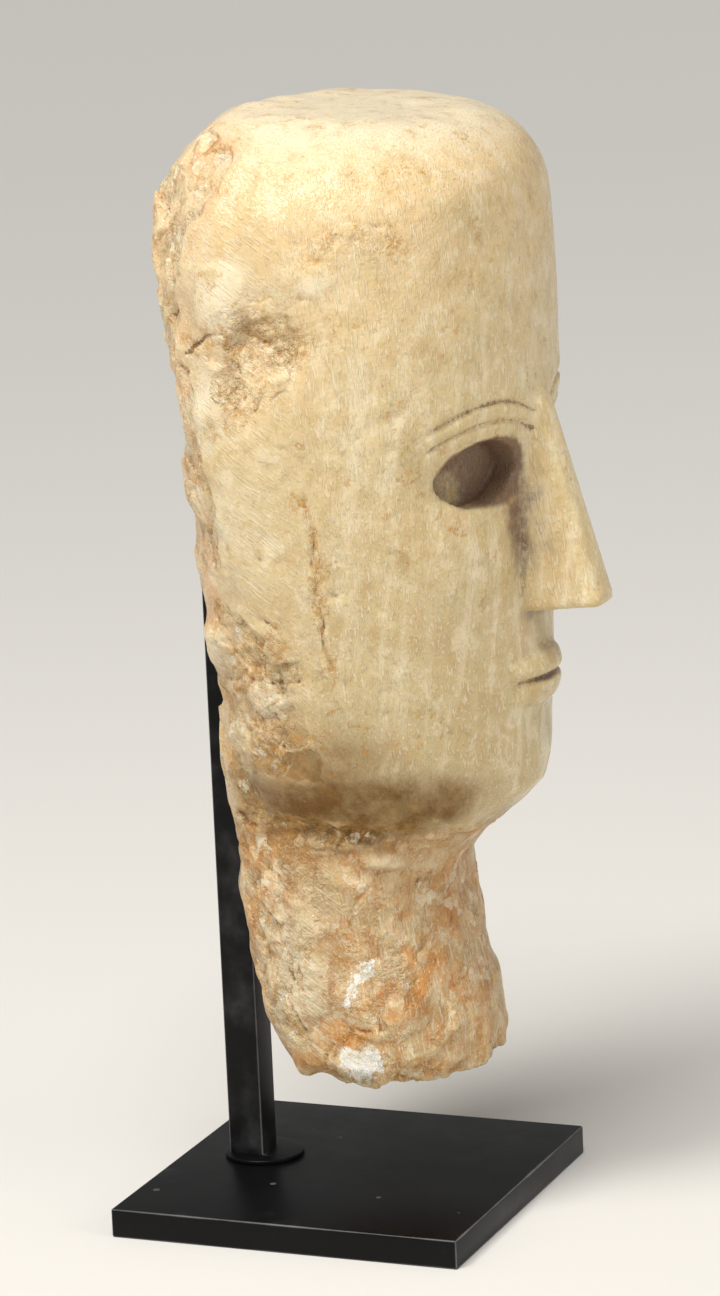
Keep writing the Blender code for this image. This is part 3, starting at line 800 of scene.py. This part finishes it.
def alabaster(tones):
    """Creamy banded alabaster: cloudy, finely veined, rasped, soiled and stained, with painted shade under
    the jaw, in the sockets and under the nose, and painted glints and highlights.
    """
    material, make, shader = new_recipe("alabaster")
    times, plus, fade, mask = make.times, make.plus, make.range, make.mask
    noise, along = make.noise, make.along
    hollow, soil, crumb = mask("hollow"), mask("soil"), mask("crumb")
    shade, umber_and_shade = mask("shade"), mask("umber_and_shade")
    place = make.add("ShaderNodeTexCoord").outputs["Object"]
    split = make.add("ShaderNodeSeparateXYZ", {"Vector": place})
    height, depth = split.outputs["Z"], split.outputs["Y"]

    clouds = noise(place, 26, 4, 0.62)
    patches = noise(place, 13, 5, 0.7)
    mottle = noise(place, 6, 4, 0.68)
    crumbs = noise(place, 2.4, 3, 0.68)
    grain = noise(place, 0.9, 1.5, 0.65)
    bent = make.vectors("MULTIPLY_ADD", crumbs, (0.006, -0.005, 0.005), place)
    wide_facets, wide_tone = make.facets(bent, 6.5, 0.5)
    facets, facet_tone = make.facets(bent, 2.8, 0.22)
    rough = make.maths("SUBTRACT", 1.0, mask("worked"))

    level = plus(height, make.maths("MULTIPLY_ADD", clouds, 0.1, -0.05))
    forward = plus(depth, make.maths("MULTIPLY_ADD", clouds, 0.08, -0.04))
    below_crown = fade(height, 0.299, 0.28)
    low = times(fade(level, 0.27, 0.17, 0.2, 1), below_crown)
    bands = noise(along(place, 8, 14), 4.5, 2, 0.55)
    banded = times(fade(forward, -0.012, -0.034), fade(level, 0.26, 0.22))
    # Paler towards the crown and greyer lower down; the crown's flat top is painted whiter, as painted
    # light from above
    colour = make.mix(fade(level, 0.12, 0.21), tones.grey_cream, tones.cream)
    colour = make.coated(colour, (
        (fade(level, 0.225, 0.29), tones.crown_cream),
        (fade(height, 0.288, 0.299, 0, 0.6), tones.milk_and_highlight),
        (times(fade(clouds, 0.5, 0.68, 0, 0.55), below_crown), tones.grey_cream),
        (times(fade(clouds, 0.44, 0.3, 0, 0.6), low), tones.sage),
        (times(fade(patches, 0.54, 0.64, 0, 0.3), low), tones.sage),
        (times(fade(patches, 0.46, 0.37, 0, 0.38), low), tones.tan),
        (fade(mottle, 0.51, 0.64, 0, 0.5), tones.vein_and_glint),
        (fade(mottle, 0.47, 0.34, 0, 0.45), tones.honey),
        (times(fade(bands, 0.5, 0.66, 0, 0.4), banded), tones.vein_and_glint),
        (times(fade(bands, 0.48, 0.34, 0, 0.28), banded), tones.honey),
    ))

    # Broken faces, patina, streaks, facets painted whiter as glints, and the painted shade with the olive
    # brown stain under the jaw
    tint = make.mix(fade(level, 0.2, 0.25), tones.patina, tones.blush)
    streaks = fade(noise(along(place, 3, 6), 3.2, 3, 0.65), 0.5, 0.62)
    # Painted shade and stain under the jaw, multiplied into the colour
    shaded = fade(plus(shade, mottle), 0.62, 1.5)
    colour = make.coated(colour, (
        (times(mask("fresh"), fade(crumbs, 0.35, 0.6, 0.3, 0.9)), tones.fresh_break_and_highlight),
        (times(rough, fade(wide_tone, 0.45, 0.15, 0, 0.35)), tones.sage),
        (times(mask("warm"), fade(patches, 0.42, 0.56, 0.25, 0.9)), tint),
        (times(times(streaks, mask("neck")), 0.55), tones.rust),
        # Whiter facets on the rough stone, painted as glints
        (times(rough, fade(facet_tone, 0.5, 0.8, 0, 0.45)), tones.fresh_break_and_highlight),
        (times(mask("pale"), fade(mottle, 0.34, 0.54, 0.35, 0.95)), tones.milk_and_highlight),
        (times(shaded, fade(patches, 0.4, 0.58, 1.0, 0.74)), tones.shade, "MULTIPLY"),
    ))

    # Soil in the hollows, crests and layer ridges painted paler as highlights, cracks and fine lines
    earthy = times(soil, fade(mottle, 0.4, 0.6))
    deep = times(fade(hollow, 0.52, 0.78), fade(crumb, 0, 0.5, 0.5, 0.15))
    lodged = times(soil, fade(plus(deep, crumbs), 0.62, 0.92))
    # Paler crests in the soiled areas are painted highlights; so are the pale ridges of the layers below
    crests = times(soil, fade(plus(hollow, times(crumbs, 0.4)), 0.62, 0.42))
    layers = make.off_middle(noise(along(bent, 82, 3), 3.0, 2, 0.7))
    sunk = fade(plus(hollow, times(crumbs, 0.35)), 0.97, 1.16)
    cracked = fade(plus(mask("crack"), times(crumbs, 0.8)), 0.7, 1.05)
    apart = make.off_middle(noise(bent, 8, 5, 0.66))
    clustered = fade(plus(times(soil, 0.3), patches), 0.575, 0.66)
    threads = fade(make.off_middle(noise(bent, 4.2, 2, 0.55)), 0.016, 0.0)
    flecks = times(fade(apart, 0.09, 0.02), times(clustered, fade(crumbs, 0.44, 0.58)))
    colour = make.coated(colour, (
        (times(earthy, 0.55), tones.soil),
        (times(lodged, 0.55), tones.soil),
        (times(crests, 0.65), tones.fresh_break_and_highlight),
        (times(crumb, fade(layers, 0.04, 0.13, 0, 0.6)), tones.fresh_break_and_highlight),
        (times(times(crumb, fade(layers, 0.025, 0.0)), 0.7), tones.earth),
        (times(sunk, fade(crumb, 0, 0.35, 0.6, 0)), tones.dark_soil),
        (times(cracked, 0.8), tones.dark_soil),
        (times(times(fade(apart, 0.013, 0.0), clustered), 0.75), tones.earth),
        (times(times(threads, fade(plus(soil, patches), 0.85, 1.2)), 0.8), tones.thread),
        (times(flecks, 0.6), tones.soil),
    ))

    # Stains with painted shade in the sockets, under the nose and between the lips, chalk, painted glints,
    # specks and white scratches
    # Painted shade in the sockets, under the nose and between the lips, with the stains of the socket
    # floors and nose sides
    stained_and_shaded = fade(plus(umber_and_shade, times(mottle, 0.9)), 0.7, 1.25)
    rusty = fade(plus(mask("iron"), times(mottle, 0.7)), 0.62, 1.25)
    chalky = fade(plus(times(mask("chalk"), 0.38), noise(place, 3.2, 5, 0.8)), 0.78, 0.86)
    # Painted glints: some facets of the broken faces are painted milky white
    glints = times(times(rough, fade(facet_tone, 0.76, 0.84)), fade(mottle, 0.5, 0.58))
    slanting, upright = (fade(noise(along(place, lean, 9), 0.62, 1, 0.5), 0.54, 0.64)
                         for lean in (-52, -8))
    facing = fade(depth, -0.005, -0.025)
    scratches = make.add("ShaderNodeMix", {"Factor": facing, 2: slanting, 3: upright}).outputs[0]
    scratched = times(scratches, fade(patches, 0.6, 0.42, 0.25, 1.0))
    # White scratches, and bright specks of grain that are painted glints
    scratches_and_glints = make.maths("MAXIMUM", scratched, fade(grain, 0.62, 0.7))
    colour = make.coated(colour, (
        (times(stained_and_shaded, 0.9), tones.umber_and_shade),
        (times(rusty, fade(patches, 0.4, 0.58, 0.36, 0.64)), tones.iron),
        (chalky, tones.chalk),
        (times(glints, 0.8), tones.milk_and_highlight),
        (times(specks(make, bent, 3.4, 0.1), 0.5), tones.soil),
        (times(scratches_and_glints, fade(plus(shade, umber_and_shade), 0.8, 0.1, 0.04, 0.52)), tones.vein_and_glint),
    ))

    relief = plus(times(scratches, 0.55), times(grain, fade(rough, 0, 1, 0.6, 1.0)))
    relief = plus(relief, times(crumbs, fade(rough, 0, 1, 0.15, 0.5)))
    relief = plus(relief, times(plus(wide_facets, facets), fade(rough, 0.1, 0.7)))
    relief = plus(relief, times(crumb, fade(layers, 0.0, 0.12, -0.22, 0.22)))
    gloss = fade(plus(rough, times(grain, 0.3)), 0.1, 1.1, 0.25, 0.46)
    glassy = times(rough, fade(facet_tone, 0.5, 0.8, 0, 0.2))
    make.fill(shader, {
        "Base Color": colour,
        "Roughness": make.maths("SUBTRACT", gloss, glassy),
        "Normal": make.add("ShaderNodeBump", {"Height": relief, "Distance": BUMP, "Strength": 0.85}),
        "Subsurface Weight": 0.35,
        "Subsurface Radius": (1.0, 0.66, 0.34),
        "Subsurface Scale": 8 * MM,
        "Specular IOR Level": 0.3,
        "IOR": 1.5,
    })
    return material


def black_paint(settings):
    """Satin black paint on steel, a little uneven, rubbed along the edges and painted lighter there as a
    highlight, and dusty.
    """
    material, make, shader = new_recipe("black_paint")
    times, plus = make.times, make.plus
    place = make.add("ShaderNodeTexCoord").outputs["Object"]
    uneven = make.noise(place, 18, 4, 0.6)
    fine = make.noise(place, 0.6, 3, 0.6)
    edge = make.range(plus(make.mask("edge"), times(uneven, 0.5)), 0.8, 1.35)
    up = make.add("ShaderNodeSeparateXYZ", {"Vector": make.add("ShaderNodeNewGeometry").outputs["Normal"]})
    lying = times(specks(make, place, 3.2, 0.05), make.range(up.outputs["Z"], 0.6, 0.9))
    gloss = make.range(plus(uneven, times(fine, 0.25)), 0.35, 0.9, 0.29, 0.38)
    make.fill(shader, {
        "Base Color": make.coated(settings.paint, (
            (make.range(uneven, 0.35, 0.7, 0, 0.3), settings.paint_worn),
            # Edges painted lighter: rubbed paint and a painted highlight
            (times(edge, 0.7), settings.edge_wear_and_highlight),
            (times(lying, 0.2), settings.dust),
        )),
        "Roughness": plus(gloss, times(lying, 0.4)),
        "Normal": make.add("ShaderNodeBump", {"Height": plus(fine, times(uneven, 2)),
                                              "Distance": 0.03 * MM, "Strength": 0.5}),
        "Specular IOR Level": 0.16,
    })
    return material


# The stand


def rounded_block(low, high, edge):
    """A block between two corners, with rounded edges."""
    mesh = bmesh.new()
    bmesh.ops.create_cube(mesh, size=1)
    low, high = Vector(low), Vector(high)
    bmesh.ops.scale(mesh, vec=high - low, verts=mesh.verts)
    bmesh.ops.translate(mesh, vec=(low + high) / 2, verts=mesh.verts)
    bmesh.ops.bevel(mesh, geom=list(mesh.edges), offset=edge, offset_type="OFFSET", segments=4,
                    profile=0.5, affect="EDGES", material=-1, clamp_overlap=True)
    return mesh


def mark_edges(mesh, low, high):
    """A mask that is 1 along the edges of a block and 0 on its faces."""
    points, _ = read_mesh(mesh)
    gaps = np.minimum(points - np.array(low) / MM, np.array(high) / MM - points)
    gaps.sort(axis=1)
    write_mask(mesh, "edge", np.where(gaps[:, 0] > -0.1, np.clip(1 - gaps[:, 1] / EDGE_WEAR_AND_HIGHLIGHT_REACH, 0, 1), 0))


def plate_mesh(settings):
    """The square plate."""
    low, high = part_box("base_plate")
    return finished("base_plate", rounded_block(low, high, settings.plate_edge)), low, high


def post_mesh(settings):
    """The square bar and its thin round foot, joined."""
    low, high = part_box("post")
    middle_x, foot_y = (low.x + high.x) / 2, (low.y + high.y) / 2
    bar_y = foot_y + settings.foot_forward
    half, thickness = settings.bar_side / 2, settings.foot_thickness
    foot = bmesh.new()
    radius = (high.x - low.x) / 2
    bmesh.ops.create_cone(foot, segments=96, cap_ends=True, radius1=radius, radius2=radius,
                          depth=thickness)
    rims = [edge for edge in foot.edges if all(vert.co.z > 0 for vert in edge.verts)]
    bmesh.ops.bevel(foot, geom=rims, offset=FOOT_RIM, offset_type="OFFSET", segments=3, profile=0.5,
                    affect="EDGES", material=-1)
    bmesh.ops.translate(foot, verts=foot.verts, vec=(middle_x, foot_y, low.z + thickness / 2))
    corner = Vector((middle_x - half, bar_y - half, low.z))
    top = Vector((middle_x + half, bar_y + half, high.z))
    bar = rounded_block((corner.x, corner.y, low.z + thickness / 4), top, settings.bar_edge)
    tool = in_scene("foot", finished("foot", foot))
    mesh = with_modifier(finished("post", bar), "BOOLEAN", operation="UNION", solver="EXACT",
                         object=tool)
    bpy.data.objects.remove(tool)
    return mesh, corner, top


# The stage


def pale_floor(settings):
    """A square floor, which isn't part of the object."""
    shape = bmesh.new()
    bmesh.ops.create_grid(shape, x_segments=1, y_segments=1, size=settings.floor_size / 2)
    floor = in_scene("floor", finished("floor", shape))
    material, make, shader = new_recipe("floor")
    make.fill(shader, {"Base Color": tuple(settings.floor_colour), "Roughness": 0.8})
    floor.data.materials.append(material)


def studio_world(settings):
    """An even sky, and behind the floor a background that only the camera sees."""
    world = bpy.data.worlds.new("studio")
    world.use_nodes = True
    make = Recipe(world.node_tree)
    seen = make.add("ShaderNodeLightPath").outputs["Is Camera Ray"]
    sky = make.add("ShaderNodeBackground", {"Color": (1.0, 0.985, 0.96), "Strength": settings.sky})
    beyond = make.add("ShaderNodeBackground", {"Color": (1.0, 0.99, 0.97), "Strength": settings.beyond})
    both = make.add("ShaderNodeMixShader", {0: seen, 1: sky, 2: beyond})
    make.add("ShaderNodeOutputWorld", {"Surface": both})
    return world


def turned_to(direction):
    """The turn that brings the Z axis onto a direction."""
    return direction.to_track_quat("Z", "Y").to_matrix().to_4x4()


def new_light(name, kind, matrix, **values):
    """A light at the place and turn of a matrix."""
    data = bpy.data.lights.new(name, kind)
    for key, value in values.items():
        setattr(data, key, value)
    in_scene(name, data).matrix_world = matrix


def photo_camera():
    """The camera at the photo's angle."""
    data = bpy.data.cameras.new("camera")
    data.sensor_width, data.lens, data.clip_end = CAMERA_OPTICS
    turn, rise, roll = (math.radians(angle) for angle in CAMERA_ANGLES)
    camera = in_scene("camera", data)
    camera.matrix_world = (Matrix.Translation(CAMERA_PLACE) @ Matrix.Rotation(turn, 4, "Z")
                           @ Matrix.Rotation(math.pi / 2 - rise, 4, "X") @ Matrix.Rotation(roll, 4, "Z"))
    return camera


# Settings and operators


def swatch(name, description, red, green, blue):
    return FloatVectorProperty(name=name, description=description, subtype="COLOR", size=3,
                               min=0, max=1, default=linear(red, green, blue))


def number(name, description, default, **limits):
    return FloatProperty(name=name, description=description, default=default,
                         **{"min": 0, **limits})


def length(name, description, millimetres):
    return number(name, description, millimetres * MM, unit="LENGTH")


class StoneSettings(bpy.types.PropertyGroup):
    hewn_depth: length("Hewn depth", "How rough the back of the head is hewn", 0.9)
    chip_depth: number("Chip depth", "Depth of the chips, 1 as found", 1, max=2)
    cream: swatch("Cream", "The stone's lighter tone", 222, 200, 154)
    grey_cream: swatch("Grey cream", "The stone's cooler tone", 204, 184, 140)
    crown_cream: swatch("Crown cream", "The stone near the crown", 229, 201, 152)
    honey: swatch("Honey", "Darker honey tones between the veins", 196, 166, 112)
    sage: swatch("Sage", "Clear grey green patches", 186, 177, 138)
    tan: swatch("Tan", "Tan patches", 206, 168, 118)
    # Milky stone, and also the painted glints and the whitened top of the crown
    milk_and_highlight: swatch("Milk", "Milky faces of smooth breaks", 240, 228, 200)
    # Milky veins, and also the white scratches and the painted glint specks
    vein_and_glint: swatch("Vein", "Milky veins and clouds", 242, 228, 196)
    patina: swatch("Patina", "Pinkish patina of the neck and back", 208, 148, 89)
    blush: swatch("Blush", "Pinkish tint of the breaks near the crown", 230, 184, 138)
    rust: swatch("Rust streaks", "Reddish streaks of the neck", 182, 118, 66)
    # Clean faces of chips, and also the painted highlights on crests, layer ridges and some facets
    fresh_break_and_highlight: swatch("Fresh break", "Clean faces of chips", 244, 222, 178)
    # Tint of the painted shade under the jaw and the chin, with the olive brown stain there
    shade: swatch("Jaw stain and shade", "Tint of the olive brown stain under the jaw", 152, 116, 12)
    soil: swatch("Soil", "Soil in the hollows", 198, 149, 78)
    earth: swatch("Earth", "Brown earth in fine lines", 148, 102, 48)
    thread: swatch("Threads", "Thin dark lines of earth in the breaks", 122, 82, 34)
    dark_soil: swatch("Dark soil", "Soil in the cracks", 108, 72, 34)
    # Stain of the socket floors and the nose sides, and also the painted shade in the upper sockets, under
    # the nose and between the lips
    umber_and_shade: swatch("Umber and shade", "Stain of the eye sockets and the nose", 112, 84, 68)
    iron: swatch("Iron", "Orange iron stain", 196, 132, 56)
    chalk: swatch("Chalk", "White chalky crust", 246, 242, 232)


class StandSettings(bpy.types.PropertyGroup):
    plate_edge: length("Plate edge", "Rounding of the plate's edges", 0.6)
    bar_side: length("Bar side", "Side of the square bar", 10)
    bar_edge: length("Bar edge", "Rounding of the bar's edges", 0.5)
    foot_thickness: length("Foot thickness", "Thickness of the bar's round foot", 1)
    foot_forward: length("Foot forward", "How far the foot stands before the bar", 3.4)
    paint: swatch("Paint", "Black satin paint", 9, 9, 10)
    paint_worn: swatch("Worn paint", "Paint where it is handled", 16, 16, 17)
    # Edges where the paint is thin, painted light enough to stand for their highlight too
    edge_wear_and_highlight: swatch("Rubbed edge and highlight", "Edges where the paint is thin", 150, 150, 152)
    dust: swatch("Dust", "Dust lying on the plate", 168, 160, 144)


class StageSettings(bpy.types.PropertyGroup):
    floor_colour: swatch("Floor", "Plain pale floor", 226, 223, 217)
    floor_size: number("Floor size", "Side of the floor", 16, unit="LENGTH", min=1)
    key_power: number("Key light", "Power of the main light", 9.2, subtype="POWER")
    fill_power: number("Fill light", "Power of the light before the face", 5, subtype="POWER")
    sun: number("Sun", "Strength of the wide light over the floor", 1.7)
    sky: number("Sky", "Strength of the even light", 0.26)
    beyond: number("Beyond", "Brightness of what shows past the floor", 0.56)


class STONE_OT_head(bpy.types.Operator):
    """Carves the alabaster head"""
    bl_idname = "stone_head.head"
    bl_label = "Alabaster Head"

    def execute(self, context):
        settings = context.scene.stone_head
        mesh, broken, clean = carved_stone(settings)
        paint(mesh, broken, clean)
        new_piece("carved_head", mesh, alabaster(settings), "head")
        return {"FINISHED"}


class STONE_OT_stand(bpy.types.Operator):
    """Builds the steel post and the base plate"""
    bl_idname = "stone_head.stand"
    bl_label = "Steel Stand"

    def execute(self, context):
        settings = context.scene.stone_stand
        material = black_paint(settings)
        pieces = (("steel_plate", "base_plate", plate_mesh), ("steel_post", "post", post_mesh))
        for name, node, shape in pieces:
            mesh, low, high = shape(settings)
            mark_edges(mesh, low, high)
            mesh.shade_smooth()
            mesh.set_sharp_from_angle(angle=SHARP_EDGE)
            new_piece(name, mesh, material, node)
        return {"FINISHED"}


class STONE_OT_stage(bpy.types.Operator):
    """Sets up the pale floor, the soft lights and the camera"""
    bl_idname = "stone_head.stage"
    bl_label = "Studio Stage"

    def execute(self, context):
        settings = context.scene.stone_stage
        pale_floor(settings)
        context.scene.world = studio_world(settings)
        context.scene.view_settings.view_transform = "Standard"
        powers = (settings.key_power, settings.fill_power)
        for (name, place, target, size, colour), power in zip(LIGHTS, powers):
            matrix = Matrix.Translation(place) @ turned_to(Vector(place) - Vector(target))
            new_light(name, "AREA", matrix, shape="DISK", size=size, energy=power, color=colour)
        new_light("sun", "SUN", turned_to(Vector(SUN_FROM)), energy=settings.sun, angle=SUN_WIDTH)
        context.scene.camera = photo_camera()
        return {"FINISHED"}


class STONE_PT_panel(bpy.types.Panel):
    """Lists the pieces and their settings"""
    bl_label = "Alabaster Head"
    bl_space_type = "VIEW_3D"
    bl_region_type = "UI"
    bl_category = "Alabaster Head"

    def draw(self, context):
        for group, _, operator in GROUPS:
            box = self.layout.box()
            box.operator(operator.bl_idname)
            settings = getattr(context.scene, group)
            for name in settings.__annotations__:
                box.prop(settings, name)


# Groups of settings: name in the scene, class, operator
GROUPS = (
    ("stone_head", StoneSettings, STONE_OT_head),
    ("stone_stand", StandSettings, STONE_OT_stand),
    ("stone_stage", StageSettings, STONE_OT_stage),
)
CLASSES = [item for _, *pair in GROUPS for item in pair] + [STONE_PT_panel]


def register():
    for item in CLASSES:
        bpy.utils.register_class(item)
    for name, group, _ in GROUPS:
        setattr(bpy.types.Scene, name, PointerProperty(type=group))


def unregister():
    for name, *_ in GROUPS:
        delattr(bpy.types.Scene, name)
    for item in reversed(CLASSES):
        bpy.utils.unregister_class(item)


def main():
    register()
    bpy.ops.stone_head.head()
    bpy.ops.stone_head.stand()
    bpy.ops.stone_head.stage()


if __name__ == "__main__":
    main()
